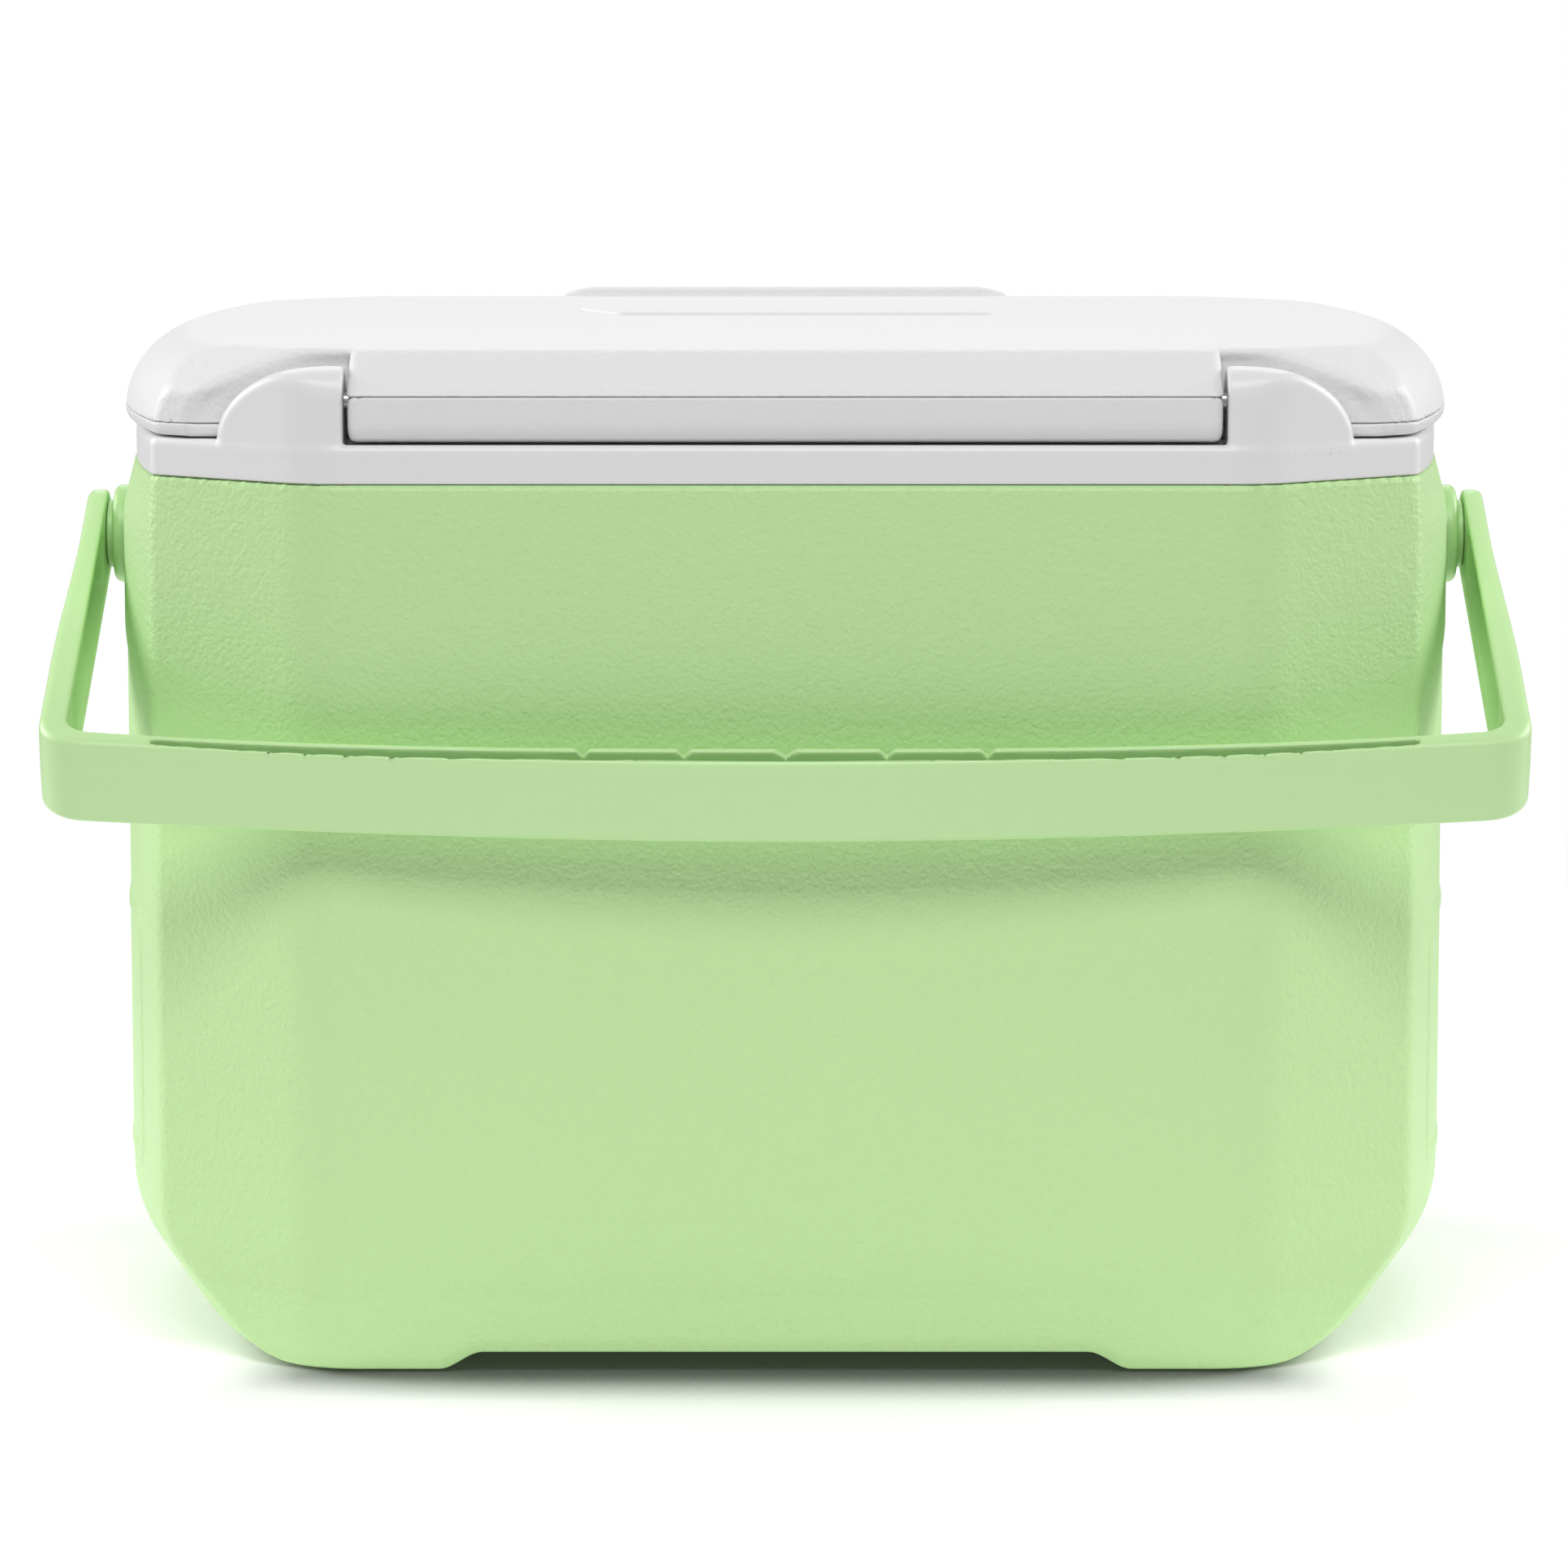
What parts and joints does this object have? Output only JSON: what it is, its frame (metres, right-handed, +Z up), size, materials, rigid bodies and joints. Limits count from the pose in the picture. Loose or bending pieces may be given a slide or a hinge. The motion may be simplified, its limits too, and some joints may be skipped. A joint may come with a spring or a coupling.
{
  "type": "hard cooler chest",
  "caption": "Hard-sided insulated cooler chest with a foam-filled body and lid, a full-length rear hinge barrel and a one-piece swing handle that turns on side pivots.",
  "frame": {"origin": "on the floor under the middle of the overall box", "axes": "+Z up; -Y is the hinge side, where the handle hangs; +Y is the opening side; +X to the right when the hinge side is seen"},
  "size_m": [0.4192, 0.2719, 0.2942],
  "materials": {
    "shell": "fine leather grain, moulded",
    "handle": "smooth satin",
    "pivot": "smooth satin",
    "liner": "smooth satin",
    "collar": "smooth satin",
    "lid": "fine leather grain, moulded",
    "foam": "rigid cellular foam",
    "plug": "smooth",
    "backing": "plain",
    "steel": "zinc plated"
  },
  "bodies": {
    "chest": {"outer_shell": "shell", "inner_liner": "liner", "body_foam": "foam", "rim_collar": "collar", "base_port_plugs": "plug", "pivot_boss_left": "pivot", "pivot_boss_right": "pivot", "boss_backing_left": "backing", "boss_backing_right": "backing", "pivot_screws": "steel", "hinge_pin_left": "steel", "hinge_pin_right": "steel"},
    "lid": {"lid_shell": "lid", "lid_pan": "collar", "lid_foam": "foam", "lid_port_plugs": "plug"},
    "handle": {"handle_bail": "handle"}
  },
  "joints": [
    {"name": "lid_hinge", "type": "hinge", "parent": "chest", "child": "lid", "pos_m": [0, -0.0987, 0.2775], "axis": [1, 0, 0], "range_deg": [0, 100]},
    {"name": "handle_swing", "type": "hinge", "parent": "chest", "child": "handle", "pos_m": [0, 0.0122, 0.2285], "axis": [-1, 0, 0], "range_deg": [0, 226]}
  ]
}
